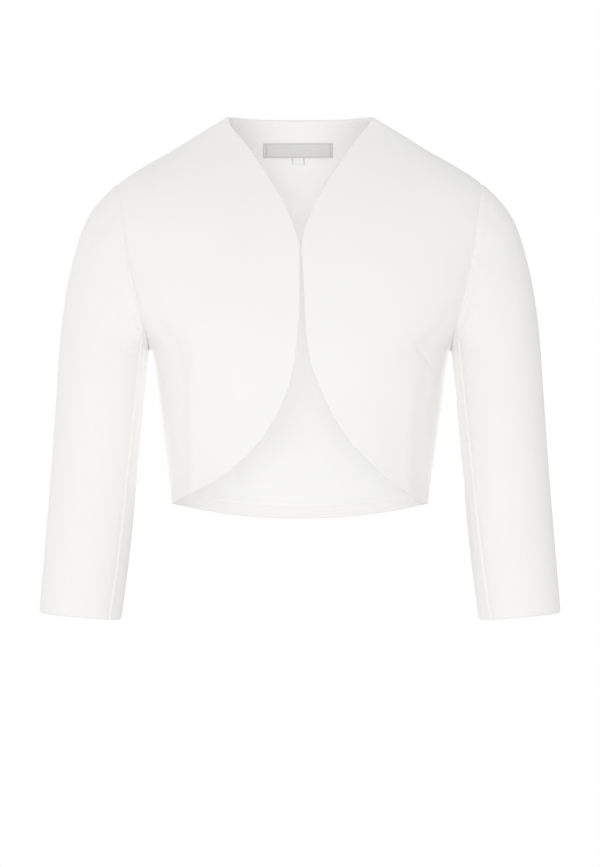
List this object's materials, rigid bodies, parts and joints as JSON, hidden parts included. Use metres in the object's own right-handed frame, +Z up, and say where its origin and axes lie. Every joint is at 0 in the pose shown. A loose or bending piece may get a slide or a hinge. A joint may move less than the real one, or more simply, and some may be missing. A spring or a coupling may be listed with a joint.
{
  "type": "cropped jacket",
  "caption": "Cropped collarless white jacket with round cutaway fronts that meet edge to edge and three-quarter two-piece sleeves, filled out as worn and hollow.",
  "frame": {"origin": "midway between the two side-neck points, where the wearer's neck and shoulders carry the jacket", "axes": "+X to the wearer's left, +Y to the wearer's back, +Z up"},
  "size_m": [0.544, 0.2187, 0.5275],
  "materials": {
    "shell_crepe": "matt woven crepe, off-white",
    "lining_satin": "smooth lining cloth with a soft sheen, off-white",
    "label_tape": "woven tape, pale grey, bare"
  },
  "bodies": {
    "root": {"front_right": "shell_crepe", "front_left": "shell_crepe", "back": "shell_crepe", "back_lining": "lining_satin", "back_hem_turn_up": "shell_crepe", "upper_sleeve_right": "shell_crepe", "upper_sleeve_left": "shell_crepe", "under_sleeve_right": "shell_crepe", "under_sleeve_left": "shell_crepe", "label": "label_tape", "size_tab": "label_tape"}
  },
  "joints": []
}
